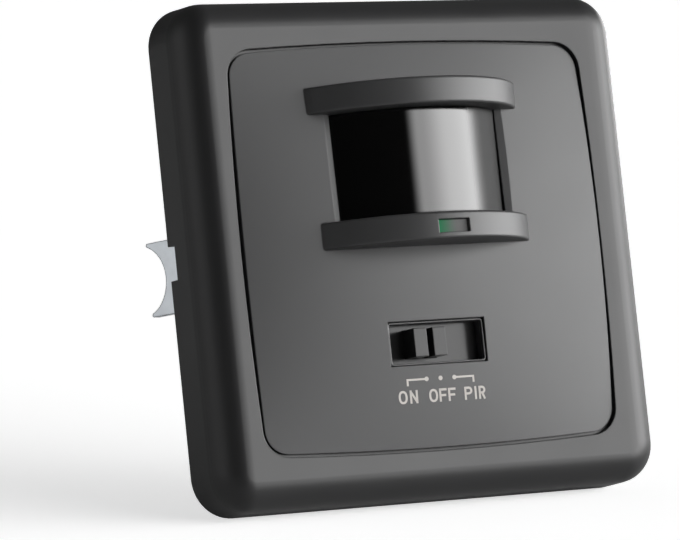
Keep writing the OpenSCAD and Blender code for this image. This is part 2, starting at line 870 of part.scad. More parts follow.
module insert_housing() {
    screw_end = cover_y + housing_screw_l;
    color([0.2, 0.2, 0.21]) difference() {
        union() {
            difference() {
                slab(0, housing_back) housing_shape(0);
                slab(-past, floor_y) housing_shape(housing_wall);
            }
            slab(power_back, floor_y + housing_wall / 2) at_posts() circle(post_base_r);
            slab(board_back, floor_y + housing_wall / 2) at_posts() circle(post_r);
            slab(board_y, floor_y + housing_wall / 2) at_posts() circle(post_pin_r);
            intersection() {
                slab(0, floor_y + housing_wall / 2) for (end = [-1, 1]) translate([0, end * boss_z]) circle(boss_r);
                slab(0, housing_back) housing_shape(0);
            }
        }
        for (end = [-1, 1]) rod(0, end * boss_z, housing_screw_r + pin_fit, -past, screw_end + past);
        slab(floor_y - past, housing_back + past)
            rect_at(0, (terminal_top + terminal_bottom) / 2, terminal_w + 2 * loose_fit,
                    terminal_top - terminal_bottom + 2 * loose_fit);
    }
}

module housing_screws() {
    color([0.75, 0.75, 0.77]) for (end = [-1, 1])
        translate([0, cover_y, end * boss_z]) rotate([0, 0, 180])
            slotted_screw(housing_head_r, housing_head_t, housing_screw_r, housing_screw_l);
}

module claw_pins() {
    half = claw_w / 2 + loose_fit + lug_t;
    color([0.7, 0.72, 0.75]) both_sides() translate([-pivot_x, pivot_y, claw_z]) {
        translate([0, 0, -half]) cylinder(r = pin_r, h = 2 * half);
        for (end = [0, 180]) rotate([end, 0, 0]) translate([0, 0, half]) cylinder(r = pin_head_r, h = pin_head_t);
    }
}

// Outline of a claw's blade from its pin to its horns, whose round tips touch the arc between them
module blade_shape() {
    half = claw_w / 2;
    difference() {
        translate([-half, 0]) square([claw_w, claw_l]);
        translate([0, horn_bite_y]) circle(horn_r);
        for (side = [0, 1]) mirror([side, 0])
            polygon([horn_at, [half + past, horn_at.y], [half + past, horn_bite_y], [0, horn_bite_y]]);
    }
    for (side = [-1, 1]) translate([side * horn_at.x, horn_at.y]) circle(horn_tip_r);
}

// Bent blade on its pin, slotted for the screw, with two horns at its end
module claw() {
    color([0.7, 0.72, 0.75]) translate([-pivot_x, pivot_y, claw_z]) rotate([0, 0, claw_slant]) difference() {
        union() {
            translate([0, 0, -claw_w / 2]) cylinder(r = barrel_r, h = claw_w);
            translate([-barrel_r + claw_t, 0, 0]) rotate([0, -90, 0]) linear_extrude(claw_t) blade_shape();
        }
        translate([0, 0, -claw_w]) cylinder(r = pin_r + pin_fit, h = 2 * claw_w);
        block([-2 * barrel_r, -2 * barrel_r, -claw_slot_w / 2], [2 * barrel_r, claw_slot_l, claw_slot_w / 2]);
    }
}

module claw_screw() {
    color([0.75, 0.75, 0.77]) translate([-claw_screw_x, ring_y, claw_z]) rotate([0, 0, 180])
        slotted_screw(claw_head_r, claw_head_t, claw_screw_r, claw_screw_l);
}

module claw_nut() {
    color([0.72, 0.7, 0.6]) slab(nut_y, nut_y + nut_t) difference() {
        rect_at(-claw_screw_x, claw_z, nut_w, nut_w);
        translate([-claw_screw_x, claw_z]) circle(claw_screw_r + pin_fit);
    }
}

module left_claw() {
    claw();
}

module left_claw_screw() {
    claw_screw();
}

module left_claw_nut() {
    claw_nut();
}

module right_claw() {
    mirror([1, 0, 0]) claw();
}

module right_claw_screw() {
    mirror([1, 0, 0]) claw_screw();
}

module right_claw_nut() {
    mirror([1, 0, 0]) claw_nut();
}

cover_frame();
centre_plate();
infrared_lens();
light_pipe();
switch_slider();
slide_stem();
slide_switch_base();
slide_switch_shell();
sensor_board();
detector_can();
detector_window();
status_led();
light_sensor();
trimmer_bodies();
time_dial();
brightness_dial();
header_strips();
header_pins();
power_board();
relay();
film_capacitor();
smoothing_capacitor();
rectifier_diodes();
fuse_resistor();
terminal_block();
terminal_clamps();
terminal_screws();
insert_cover();
mounting_ring();
insert_housing();
housing_screws();
claw_pins();
left_claw();
left_claw_screw();
left_claw_nut();
right_claw();
right_claw_screw();
right_claw_nut();
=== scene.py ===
"""Looks of a flush-mount motion sensor switch, and the stage that it stands on.

The looks are moulded plastic, a glossy lens, a printed legend and plated steel. All lengths are in metres,
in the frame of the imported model: x to the right, y into the wall, z up.
"""
import math

import bpy
import numpy as np
from mathutils import Matrix, Vector


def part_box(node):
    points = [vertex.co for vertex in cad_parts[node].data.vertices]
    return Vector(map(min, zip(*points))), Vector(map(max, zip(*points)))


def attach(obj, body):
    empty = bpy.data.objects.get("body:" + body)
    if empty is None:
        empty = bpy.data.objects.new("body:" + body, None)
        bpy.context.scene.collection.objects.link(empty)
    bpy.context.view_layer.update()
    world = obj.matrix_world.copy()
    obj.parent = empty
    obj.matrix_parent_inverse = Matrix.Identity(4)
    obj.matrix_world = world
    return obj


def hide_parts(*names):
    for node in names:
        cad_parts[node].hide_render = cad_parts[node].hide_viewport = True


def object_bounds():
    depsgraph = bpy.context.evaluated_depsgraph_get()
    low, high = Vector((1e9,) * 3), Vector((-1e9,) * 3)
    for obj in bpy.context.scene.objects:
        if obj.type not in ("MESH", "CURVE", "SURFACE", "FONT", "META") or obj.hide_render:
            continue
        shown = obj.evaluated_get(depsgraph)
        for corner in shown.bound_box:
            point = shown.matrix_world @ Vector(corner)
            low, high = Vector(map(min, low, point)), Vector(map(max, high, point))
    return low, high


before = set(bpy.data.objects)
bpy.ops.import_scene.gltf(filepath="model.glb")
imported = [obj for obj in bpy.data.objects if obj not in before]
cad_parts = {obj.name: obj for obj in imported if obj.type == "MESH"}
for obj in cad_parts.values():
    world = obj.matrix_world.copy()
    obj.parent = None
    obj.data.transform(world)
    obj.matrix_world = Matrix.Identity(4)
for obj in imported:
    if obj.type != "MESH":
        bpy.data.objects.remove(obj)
CAD_BOX = [list(corner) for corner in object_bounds()]

bl_info = {
    "name": "Motion Sensor Switch",
    "version": (1, 0, 0),
    "blender": (4, 5, 0),
    "location": "View3D > Sidebar > Switch",
    "description": "Dresses the packed motion sensor switch and lights it on a white floor",
    "category": "Object",
}

MM = 0.001

FRONT_Y = -0.010  # front of the cover frame
FRAME_FLAT = 0.0338  # distance from the middle at which the frame's shading starts to fall away
FRAME_BEND = 0.0026  # width over which that fall gets steeper
FRAME_SHARES = (1.0, 0.3)  # shares of the fall at the left and at the right

DOME_TOP = 0.0011  # height of the centre plate's dome over the frame's front
DOME_RADIUS = 0.600  # radius of the ball that the dome is cut from
PLATE_HALF = 0.0335  # distance from the middle to the edges of the plate's bow
HEAD_Y = -0.0114  # what the plate has ahead of this depth is the sensor head
HEAD_BLEND = 0.1 * MM  # depth over which the head's finish gives way to the plate's

SLOT_HALF = (0.0083, 0.0031)  # half the width and height of the slider's slot
SLOT_Z = -0.0155  # height of the slot's middle
SLOT_LEDGE = 0.00112  # depth of the foot of the slot's collar under the plate's front
SLOT_CORNER = 0.0003  # radius of the slot's corners

SCREW_HEAD = (0.0032, 0.0022)  # radius and height of a claw screw's head
SCREW_RADIUS = 0.0016  # radius of its shaft
SCREW_SLOT = 0.0008  # width of the slot for the screwdriver


class SwitchSizes(bpy.types.PropertyGroup):
    """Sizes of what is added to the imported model."""

    edge_softness: bpy.props.FloatProperty(
        name="Edge softness", description="Radius of the light that moulded edges catch",
        default=0.00025, min=0, unit="LENGTH")
    grain_size: bpy.props.FloatProperty(
        name="Grain size", description="Size of the fine texture on moulded plastic",
        default=0.00022, min=0.00005, unit="LENGTH")
    pillow_height: bpy.props.FloatProperty(
        name="Pillow height", description="Height that the centre plate's shading swells by",
        default=0.0025, unit="LENGTH")
    bow_height: bpy.props.FloatProperty(
        name="Bow height", description="Height that the centre plate's shading bows by from side to side",
        default=0.0021, unit="LENGTH")
    head_slope: bpy.props.FloatProperty(
        name="Head slope", description="Rise of the sensor head's shading to the right, per metre",
        default=0.1)
    slider_slope: bpy.props.FloatProperty(
        name="Slider slope", description="Fall of the slider's shading to the right, per metre",
        default=0.12)
    frame_fall: bpy.props.FloatProperty(
        name="Frame fall", description="Bend of the shading towards the frame's sides, per metre",
        default=80.0)
    collar_width: bpy.props.FloatProperty(
        name="Collar width", description="Thickness of the thin wall around the slot",
        default=0.0003, min=0.00005, unit="LENGTH")
    collar_sink: bpy.props.FloatProperty(
        name="Collar sink", description="Depth of that wall's crest under the plate's front",
        default=0.0004, unit="LENGTH")
    letter_height: bpy.props.FloatProperty(
        name="Letter height", description="Height of the printed capitals",
        default=0.00206, unit="LENGTH")
    letter_stroke: bpy.props.FloatProperty(
        name="Letter stroke", description="Stroke width of the printed capitals",
        default=0.00035, unit="LENGTH")
    print_height: bpy.props.FloatProperty(
        name="Print height", description="Height of the printed ink over the plate",
        default=0.00003, unit="LENGTH")
    thread_pitch: bpy.props.FloatProperty(
        name="Thread pitch", description="Advance of the claw screws' thread in one turn",
        default=0.0006, min=0.0001, unit="LENGTH")


class SwitchColours(bpy.types.PropertyGroup):
    """Colours of the switch, as linear values."""

    # frame grey and plate grey are one dark grey plastic: the frame's is darker as painted shade, and the
    # plate's is lighter as painted light
    frame_grey: bpy.props.FloatVectorProperty(
        name="Frame grey", description="Moulded plastic of frame and slider", subtype="COLOR",
        default=(0.02, 0.02, 0.0205))
    plate_grey: bpy.props.FloatVectorProperty(
        name="Plate grey", description="Moulded plastic of the centre plate", subtype="COLOR",
        default=(0.046, 0.046, 0.047))
    insert_black: bpy.props.FloatVectorProperty(
        name="Insert black", description="Moulded plastic of the housing", subtype="COLOR",
        default=(0.022, 0.022, 0.023))
    lens_black: bpy.props.FloatVectorProperty(
        name="Lens black", description="Polished infrared lens", subtype="COLOR",
        default=(0.0015, 0.0015, 0.0015))
    ink: bpy.props.FloatVectorProperty(
        name="Ink", description="Printed legend", subtype="COLOR",
        default=(0.52, 0.49, 0.46))
    signal_green: bpy.props.FloatVectorProperty(
        name="Signal green", description="Light of the status lamp in the light pipe", subtype="COLOR",
        default=(0.001, 0.24, 0.085))
    zinc: bpy.props.FloatVectorProperty(
        name="Zinc", description="Plated steel of claws and ring", subtype="COLOR",
        default=(0.8, 0.84, 0.88))


class StageSettings(bpy.types.PropertyGroup):
    """Camera and light of the stage."""

    camera_azimuth: bpy.props.FloatProperty(
        name="Camera azimuth", description="Turn of the camera to the left of the front", subtype="ANGLE",
        default=math.radians(28.3798))
    camera_elevation: bpy.props.FloatProperty(
        name="Camera elevation", description="Height angle of the camera over the middle", subtype="ANGLE",
        default=math.radians(-5.3299))
    camera_roll: bpy.props.FloatProperty(
        name="Camera roll", description="Turn of the camera about its view", subtype="ANGLE",
        default=math.radians(-5.8652))
    camera_distance: bpy.props.FloatProperty(
        name="Camera distance", description="Distance of the camera from its target",
        default=0.6429107, unit="LENGTH")
    camera_target: bpy.props.FloatVectorProperty(
        name="Camera target", description="Point in the middle of the picture", subtype="XYZ",
        default=(-0.0156365, FRONT_Y, -0.0033035), unit="LENGTH")
    focal_pixels: bpy.props.FloatProperty(
        name="Focal length in pixels", description="Focal length, counted in pixels of a picture 680 wide",
        default=4133.28)
    softbox_strength: bpy.props.FloatProperty(
        name="Softbox strength", description="Radiance of the large light at the right",
        default=11.2, min=0)
    fill_strength: bpy.props.FloatProperty(
        name="Fill strength", description="Radiance of the weak light at the left",
        default=1.35, min=0)
    lean: bpy.props.FloatProperty(
        name="Lean", description="Angle by which the switch leans back from the floor's upright",
        subtype="ANGLE", default=math.radians(12.35))


class Wire:
    """A value in a node tree. Arithmetic on it adds Math nodes, and node() adds any other node."""

    def __init__(self, tree, socket=None):
        self.tree = tree
        self.socket = socket

    def node(self, kind, settings=None, inputs=None, output=0):
        """Adds a node, sets its settings, then fills its sockets. Gives one output, or a list of several."""
        node = self.tree.nodes.new(kind)
        for name, value in (settings or {}).items():
            setattr(node, name, value)
        for key, value in (inputs or {}).items():
            self.feed(node.inputs[key], value)
        if isinstance(output, tuple):
            return [Wire(self.tree, node.outputs[name]) for name in output]
        return Wire(self.tree, node.outputs[output])

    def feed(self, socket, value):
        """Links a wire into a socket, or sets a plain value on it."""
        if isinstance(value, Wire):
            self.tree.links.new(value.socket, socket)
        else:
            socket.default_value = value

    def maths(self, operation, *terms):
        """One step of arithmetic on wires and numbers."""
        return self.node("ShaderNodeMath", {"operation": operation}, dict(enumerate(terms)))

    def __add__(self, other):
        return self.maths("ADD", self, other)

    def __radd__(self, other):
        return self.maths("ADD", other, self)

    def __sub__(self, other):
        return self.maths("SUBTRACT", self, other)

    def __rsub__(self, other):
        return self.maths("SUBTRACT", other, self)

    def __mul__(self, other):
        return self.maths("MULTIPLY", self, other)

    def __rmul__(self, other):
        return self.maths("MULTIPLY", other, self)

    def __truediv__(self, other):
        return self.maths("DIVIDE", self, other)

    def __pow__(self, other):
        return self.maths("POWER", self, other)

    def size(self):
        """This value without its sign."""
        return self.maths("ABSOLUTE", self)

    def at_least(self, low):
        """The greater of this value and a limit."""
        return self.maths("MAXIMUM", self, low)

    def at_most(self, high):
        """The smaller of this value and a limit."""
        return self.maths("MINIMUM", self, high)

    def swing(self, width):
        """A value of 0 to 1 made into a change of a given width, half of it down and half of it up."""
        return width * (self - 0.5)

    def ridge(self):
        """Triangle wave of this value: 1 at whole numbers, 0 halfway between them."""
        return (2 * self.maths("FRACT", self) - 1).size()

    def ease(self, start, end):
        """Smooth step of this value from 0 at start to 1 at end."""
        return self.node("ShaderNodeMapRange", {"interpolation_type": "SMOOTHSTEP"},
                         {"Value": self, "From Min": start, "From Max": end})

    def band(self, begin, finish):
        """1 between two stretches of this value: it eases in over the first and out over the second."""
        return self.ease(*begin) * (1 - self.ease(*finish))

    def colours(self, first, second):
        """Mix of two colours by this value."""
        ends = {0: self, 6: opaque(first), 7: opaque(second)}
        return self.node("ShaderNodeMix", {"data_type": "RGBA"}, ends, 2)

    def tints(self, colour, dark, light):
        """Mix of two tints of a colour by this value, given as shares of the colour."""
        return self.colours(shade(colour, dark), shade(colour, light))

    def vectors(self, first, second):
        """Mix of two vectors by this value."""
        return self.node("ShaderNodeMix", {"data_type": "VECTOR"}, {0: self, 4: first, 5: second}, 1)

    def noise(self, vector, size, detail=2.0):
        """Noise of a feature size over a vector of metres, about 0 to 1."""
        inputs = {"Vector": vector, "Scale": 1 / size, "Detail": detail}
        return self.node("ShaderNodeTexNoise", None, inputs, "Fac")

    def axes(self):
        """The three values of this vector."""
        return self.node("ShaderNodeSeparateXYZ", None, {0: self}, ("X", "Y", "Z"))

    def soft_normal(self, radius):
        """Normal that turns round the edges within a radius."""
        return self.node("ShaderNodeBevel", {"samples": 6}, {"Radius": radius})

    def bump(self, height, normal):
        """Normal bent by a height in metres."""
        inputs = {"Strength": 1.0, "Distance": 1.0, "Height": height, "Normal": normal}
        return self.node("ShaderNodeBump", None, inputs)


def opaque(colour):
    """A colour with its alpha, ready for a socket."""
    return colour if isinstance(colour, Wire) else (*colour, 1.0)


def shade(colour, share):
    """A colour made darker or lighter by a share."""
    return tuple(min(1.0, share * c) for c in colour)


def object_place(wire):
    """Object coordinates as one vector and as three values."""
    place = wire.node("ShaderNodeTexCoord", output="Object")
    return place, place.axes()


def new_material(name):
    """A material with a Principled shader, its starting wire and that shader's node."""
    material = bpy.data.materials.new(name)
    material.use_nodes = True
    tree = material.node_tree
    return material, Wire(tree), tree.nodes["Principled BSDF"]


def dress(wire, shader, **sockets):
    """Fills a shader's sockets, named in plain words with underscores."""
    for name, value in sockets.items():
        wire.feed(shader.inputs[name.replace("_", " ").title().replace("Ior", "IOR")], value)


def coat(material, *nodes):
    """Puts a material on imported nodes."""
    for name in nodes:
        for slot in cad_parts[name].material_slots:
            slot.material = material


def mesh_object(name, points, faces, material):
    """A mesh object at the origin of the scene."""
    mesh = bpy.data.meshes.new(name)
    mesh.from_pydata(points.tolist(), [], faces)
    mesh.validate()
    mesh.materials.append(material)
    thing = bpy.data.objects.new(name, mesh)
    bpy.context.scene.collection.objects.link(thing)
    return thing


def make_piece(name, points, faces, material, body, slot):
    """A mesh object that rides on a body."""
    piece = mesh_object(name, points, faces, material)
    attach(piece, body)
    return piece


GRAIN_HEIGHT = 9e-7  # height of the fine texture on moulded plastic


def moulded(name, colour, sizes, roughness, gloss=0.5, swell=None, polish=0.0):
    """Satin plastic with fine grain, faint cloudiness and soft edges.

    The swell gives a height over x and z that bends the shading. With a polish, the sensor head is smoother
    by it and has its own slope instead of the swell.
    """
    material, wire, shader = new_material(name)
    place, (x, y, z) = object_place(wire)
    cloud = wire.noise(place, size=9 * MM, detail=3.0)
    grain = wire.noise(place, sizes.grain_size, detail=1.0) * GRAIN_HEIGHT
    soft = wire.soft_normal(sizes.edge_softness)
    normal = wire.bump(grain + swell(x, z, sizes) if swell else grain, soft)
    finish = roughness + cloud.swing(0.05)
    if polish:
        ahead = 1 - y.ease(HEAD_Y, HEAD_Y + HEAD_BLEND)
        normal = ahead.vectors(normal, wire.bump(grain + sizes.head_slope * x, soft))
        finish = finish - polish * ahead
    dress(wire, shader, base_color=cloud.tints(colour, dark=0.94, light=1.06), roughness=finish,
          specular_ior_level=gloss, normal=normal)
    return material


def plate_swell(x, z, sizes):
    """Height of a bow across x plus a pillow over x and z, less the height of the dome's own ball."""
    across = 1 - (x / PLATE_HALF) ** 2
    along = 1 - (z / PLATE_HALF) ** 2
    return across * (sizes.bow_height + sizes.pillow_height * along) + (x * x + z * z) / (2 * DOME_RADIUS)


def frame_swell(x, z, sizes):
    """Height that falls away towards the frame's left side, and less towards its right.

    Each fall is a parabola within the bend and its tangent beyond.
    """
    fall = 0.0
    for out, share in zip((0 - x, x), FRAME_SHARES):
        over = (out - FRAME_FLAT).at_least(0.0)
        near = over.at_most(FRAME_BEND)
        fall = fall + share * sizes.frame_fall * near * (2 * over - near)
    return 0 - fall


def slider_swell(x, z, sizes):
    """Height that falls evenly to the right, as on a shutter that sits a little askew."""
    return 0 - sizes.slider_slope * x


def skin(x, z):
    """Depth of the centre plate's domed front at x and z: a ball's surface around its highest point."""
    return FRONT_Y - DOME_TOP + DOME_RADIUS - np.sqrt(DOME_RADIUS ** 2 - x ** 2 - z ** 2)


def circle(turn):
    """Points of a circle of radius 1 at the given angles."""
    return np.stack([np.cos(turn), np.sin(turn)], 1)


COLLAR_STEPS = 9  # points on each corner of the collar, and on its crest
CREST_FLATNESS = 0.4  # power of the crest's sine: below 1, it gets flatter


def collar(sizes):
    """Points and faces of the thin wall around the slot: a profile swept along a rounded rectangle.

    The path is four quarter arcs, one at each corner. The profile goes up the inner side, over a flattened
    half circle and down the outer side. It is given as distances outward from the path and depths under the
    plate's front.
    """
    quarter = np.linspace(0, np.pi / 2, COLLAR_STEPS)
    corner = np.repeat(np.arange(4) * np.pi / 2, COLLAR_STEPS)
    out = circle(corner + np.tile(quarter, 4))
    quadrant = np.sign(circle(corner + np.pi / 4))
    path = quadrant * (np.array(SLOT_HALF) - SLOT_CORNER) + SLOT_CORNER * out
    bend = np.linspace(0, np.pi, COLLAR_STEPS)
    reach = sizes.collar_width / 2
    crest = reach * (1 - np.sin(bend).clip(0) ** CREST_FLATNESS)
    offset = np.concatenate([[0], reach * (1 - np.cos(bend)), [2 * reach]])
    depth = np.concatenate([[SLOT_LEDGE], sizes.collar_sink + crest, [SLOT_LEDGE]])
    spread = path[:, None] + offset[:, None] * out[:, None]
    deep = np.broadcast_to(skin(0, SLOT_Z) + depth, spread.shape[:2])
    points = np.stack([spread[..., 0], deep, SLOT_Z + spread[..., 1]], -1)
    index = np.arange(deep.size).reshape(deep.shape)
    across = np.roll(index, -1, 1)
    faces = np.stack([index, across, np.roll(across, -1, 0), np.roll(index, -1, 0)], -1)
    return points.reshape(-1, 3), faces.reshape(-1, 4).tolist()


class SWITCH_OT_mouldings(bpy.types.Operator):
    """Puts satin plastic on frame, centre plate, slider and insert, and makes the slot's collar"""
    bl_idname = "switch.mouldings"
    bl_label = "Mouldings"

    def execute(self, context):
        sizes, colours = context.scene.switch_sizes, context.scene.switch_colours
        frame_plastic = moulded("frame_plastic", colours.frame_grey, sizes, roughness=0.41, gloss=0.37,
                                swell=frame_swell)
        plate_plastic = moulded("plate_plastic", colours.plate_grey, sizes, roughness=0.5, gloss=0.46,
                                swell=plate_swell, polish=0.09)
        rim_plastic = moulded("rim_plastic", colours.plate_grey, sizes, roughness=0.3)
        slider_plastic = moulded("slider_plastic", colours.frame_grey, sizes, roughness=0.2, gloss=0.14,
                                 swell=slider_swell)
        insert_plastic = moulded("insert_plastic", colours.insert_black, sizes, roughness=0.5)
        coat(frame_plastic, "cover_frame")
        coat(plate_plastic, "centre_plate")
        coat(slider_plastic, "switch_slider")
        coat(insert_plastic, "insert_cover", "insert_housing")
        make_piece("slot_collar", *collar(sizes), rim_plastic, "switch", "plate_plastic")
        return {"FINISHED"}


LENS_POLISH = 0.05  # roughness of the lens
LENS_HAZE = 0.04  # roughness that the haze adds
LENS_DULL = 0.6  # roughness that the right end adds
LENS_DULL_END = (5 * MM, 10.5 * MM)  # stretch of x over which the right end sets in


class SWITCH_OT_lens(bpy.types.Operator):
    """Polishes the infrared lens"""
    bl_idname = "switch.lens"
    bl_label = "Lens"

    def execute(self, context):
        material, wire, shader = new_material("lens_plastic")
        place, (x, _, _) = object_place(wire)
        haze = wire.noise(place, size=6 * MM)
        right_end = x.ease(*LENS_DULL_END)
        black = tuple(context.scene.switch_colours.lens_black)
        dress(wire, shader, base_color=haze.tints(black, dark=1.0, light=1.5),
              roughness=LENS_POLISH + LENS_HAZE * haze + LENS_DULL * right_end,
              normal=wire.soft_normal(0.8 * MM))
        coat(material, "infrared_lens")
        return {"FINISHED"}


PIPE_FADE = (-2.5 * MM, 1.2 * MM)  # stretch of x over which the light inside the pipe fades
PIPE_RIM = (-2.65 * MM, -2.1 * MM)  # stretch of x over which the bright left rim fades
PIPE_GLOW = 0.42  # share of the rim's light that shows inside
PIPE_GREY = (0.04, 0.04, 0.04)  # light at the pipe's far end
PIPE_LIT_BASE = (0.005, 0.03, 0.015)  # plastic at the lit end
PIPE_UNLIT_BASE = (0.08, 0.08, 0.08)  # plastic at the far end


class SWITCH_OT_light_pipe(bpy.types.Operator):
    """Lights the left end of the light pipe"""
    bl_idname = "switch.light_pipe"
    bl_label = "Light pipe"

    def execute(self, context):
        material, wire, shader = new_material("pipe_plastic")
        place, (x, _, _) = object_place(wire)
        fade = x.ease(*PIPE_FADE)
        rim = 1 - x.ease(*PIPE_RIM)
        green = tuple(context.scene.switch_colours.signal_green)
        inside = fade.colours(shade(green, PIPE_GLOW), PIPE_GREY)
        dress(wire, shader, base_color=fade.colours(PIPE_LIT_BASE, PIPE_UNLIT_BASE),
              roughness=0.3 + 0.1 * wire.noise(place, size=0.5 * MM), specular_ior_level=0.06,
              emission_color=rim.colours(inside, green), emission_strength=1.0)
        coat(material, "light_pipe")
        return {"FINISHED"}


def ribbon(path, width, height, closed=False):
    """Points and faces of a flat band along a path in x and z, carried on the plate's skin.

    Each path point gives four corners: left and right of the path by half the width, below and above
    the skin.
    """
    path = np.asarray(path, float)
    if closed:
        along = np.roll(path, -1, 0) - np.roll(path, 1, 0)
    else:
        along = np.gradient(path, axis=0)
    along /= np.linalg.norm(along, axis=1, keepdims=True)
    side = np.stack([-along[:, 1], along[:, 0]], 1) * width / 2
    left, right = path + side, path - side
    corners = np.stack([left, left, right, right], 1)
    rise = np.array([-1.0, 1.0, 1.0, -1.0]) * height
    x, z = corners[..., 0], corners[..., 1]
    points = np.stack([x, skin(x, z) - rise, z], -1)
    rows = len(path)
    steps = np.arange(rows if closed else rows - 1)
    ahead = (steps + 1) % rows
    faces = []
    for k in range(4):
        n = (k + 1) % 4
        faces += np.stack([steps * 4 + k, steps * 4 + n, ahead * 4 + n, ahead * 4 + k], 1).tolist()
    if not closed:
        last = (rows - 1) * 4
        faces += [[3, 2, 1, 0], [last, last + 1, last + 2, last + 3]]
    return points.reshape(-1, 3), faces


def disc(centre, radius, height, sides=32):
    """Points and faces of a round dot on the skin: two rings, closed by one face each."""
    turn = np.linspace(0, 2 * np.pi, sides, endpoint=False)
    x, z = (np.asarray(centre) + radius * circle(turn)).T
    rings = [np.stack([x, skin(x, z) - rise, z], 1) for rise in (-height, height)]
    k = np.arange(sides)
    n = (k + 1) % sides
    faces = np.stack([k, n, n + sides, k + sides], 1).tolist()
    faces += [k[::-1].tolist(), (k + sides).tolist()]
    return np.concatenate(rings), faces


def joined(parts):
    """One list of points and faces from several."""
    points, faces, count = [], [], 0
    for more, quads in parts:
        points.append(more)
        faces += [[i + count for i in quad] for quad in quads]
        count += len(more)
    return np.concatenate(points), faces


LETTER_WIDTHS = {
    "O": 1.56 * MM,
    "N": 1.42 * MM,
    "F": 1.35 * MM,
    "P": 1.42 * MM,
    "I": 0.35 * MM,
    "R": 1.22 * MM,
}
LETTER_WAIST = 0.48  # height of the middle strokes, as a share of the letter's
SHORT_ARM = 0.9  # length of an F's middle arm, as a share of the letter's width
LEG_START = 0.5  # start of an R's leg, as a share of the letter's width
OVAL_POWER = 0.85  # power of an O's sine and cosine: below 1, it gets squarer

# Words of the legend with the places of their left and right ends, and the height of their foot
LEGEND = (("ON", -7.91 * MM, -4.49 * MM), ("OFF", -2.47 * MM, 2.33 * MM), ("PIR", 3.92 * MM, 7.74 * MM))
LEGEND_FOOT = -24.90 * MM

MARKS_X = -0.19 * MM  # middle dot
MARKS_Z = -21.2 * MM  # height of the dots
MARKS_STEP = 2.5 * MM  # from dot to dot
DOT_RADIUS = 0.36 * MM
RULE_WIDTH = 0.3 * MM  # level stroke from an outer dot
TICK_WIDTH = 0.32 * MM  # stroke down from its end
TICK_OUT = 5.93 * MM  # distance of that stroke from the middle dot
TICK_FOOT = -22.15 * MM  # height of its foot
DOT_RISE = 1.2  # heights of ink as shares of the print's, so that no two faces lie in one plane
TICK_RISE = 1.1


def line(start, end, steps=12):
    """Evenly spaced points along a straight stroke."""
    return np.linspace(np.asarray(start, float), np.asarray(end, float), steps)


def oval(centre, reach, steps=64):
    """Points of an ellipse whose sine and cosine have a power that makes it a little square."""
    even = circle(np.linspace(0, 2 * np.pi, steps, endpoint=False))
    squarer = np.sign(even) * np.abs(even) ** OVAL_POWER
    return np.asarray(centre) + np.asarray(reach) * squarer


def bowl(left, right, low, high, steps=33):
    """Stroke of a letter's bowl: out along the top, round half a circle and back along the bottom."""
    reach = (high - low) / 2
    bend = right - reach
    turn = np.linspace(np.pi / 2, -np.pi / 2, steps)
    arc = np.array([bend, low + reach]) + reach * circle(turn)
    return np.concatenate([line((left, high), (bend, high))[:-1], arc, line((bend, low), (left, low))[1:]])


def letter(sign, width, height, stroke):
    """Middle lines of a capital's strokes in a box. The loop of an O closes on itself."""
    left, right = stroke / 2, width - stroke / 2
    low, high, waist = stroke / 2, height - stroke / 2, LETTER_WAIST * height
    stem = line((left, 0), (left, height))
    if sign == "O":
        return [oval((width / 2, height / 2), (right - width / 2, high - height / 2))]
    strokes = {
        "N": [stem, line((left, high), (right, low)), line((right, 0), (right, height))],
        "F": [stem, line((left, high), (width, high)), line((left, waist), (SHORT_ARM * width, waist))],
        "I": [stem],
        "P": [stem, bowl(left, right, waist, high)],
        "R": [stem, bowl(left, right, waist, high), line((LEG_START * width, waist), (right, 0))],
    }
    return strokes[sign]


class SWITCH_OT_legend(bpy.types.Operator):
    """Prints the slider's three positions under its slot"""
    bl_idname = "switch.legend"
    bl_label = "Legend"

    def execute(self, context):
        sizes = context.scene.switch_sizes
        material, wire, shader = new_material("legend_ink")
        place, _ = object_place(wire)
        wear = wire.noise(place, size=0.35 * MM)
        ink = tuple(context.scene.switch_colours.ink)
        dress(wire, shader, base_color=wear.tints(ink, dark=0.86, light=1.0), roughness=0.55 + 0.1 * wear)
        parts = self.words(sizes) + self.marks(sizes)
        make_piece("legend_print", *joined(parts), material, "switch", "white_plastic")
        return {"FINISHED"}

    def words(self, sizes):
        """The three words, each spread evenly between its two ends."""
        parts = []
        stroke = sizes.letter_stroke
        for word, start, end in LEGEND:
            widths = [LETTER_WIDTHS[sign] for sign in word]
            gap = (end - start - sum(widths)) / (len(word) - 1)
            corner = np.array([start, LEGEND_FOOT])
            for sign, width in zip(word, widths):
                for path in letter(sign, width, sizes.letter_height, stroke):
                    parts.append(ribbon(path + corner, stroke, sizes.print_height, closed=sign == "O"))
                corner[0] += width + gap
        return parts

    def marks(self, sizes):
        """Three dots for the slider's stops, the outer two with a bent line to their words."""
        parts = []
        for stop in (-1, 0, 1):
            dot = (MARKS_X + stop * MARKS_STEP, MARKS_Z)
            parts.append(disc(dot, DOT_RADIUS, DOT_RISE * sizes.print_height))
            if stop:
                bend = MARKS_X + stop * TICK_OUT
                rule = line(dot, (bend, MARKS_Z))
                tick = line((bend, MARKS_Z + RULE_WIDTH / 2), (bend, TICK_FOOT))
                parts.append(ribbon(rule, RULE_WIDTH, sizes.print_height))
                parts.append(ribbon(tick, TICK_WIDTH, TICK_RISE * sizes.print_height))
        return parts


STEEL = (0.66, 0.67, 0.69)
BRASS = (0.72, 0.52, 0.22)
STREAK_HEIGHT = 1e-6  # height of the fine lines on plated steel
EDGE_AGREEMENT = (0.82, 0.98)  # cosines between soft and true normal, from an edge to a flat face
EDGE_SHADE = 0.05  # colour of the painted shade on edges, as a share of the metal's
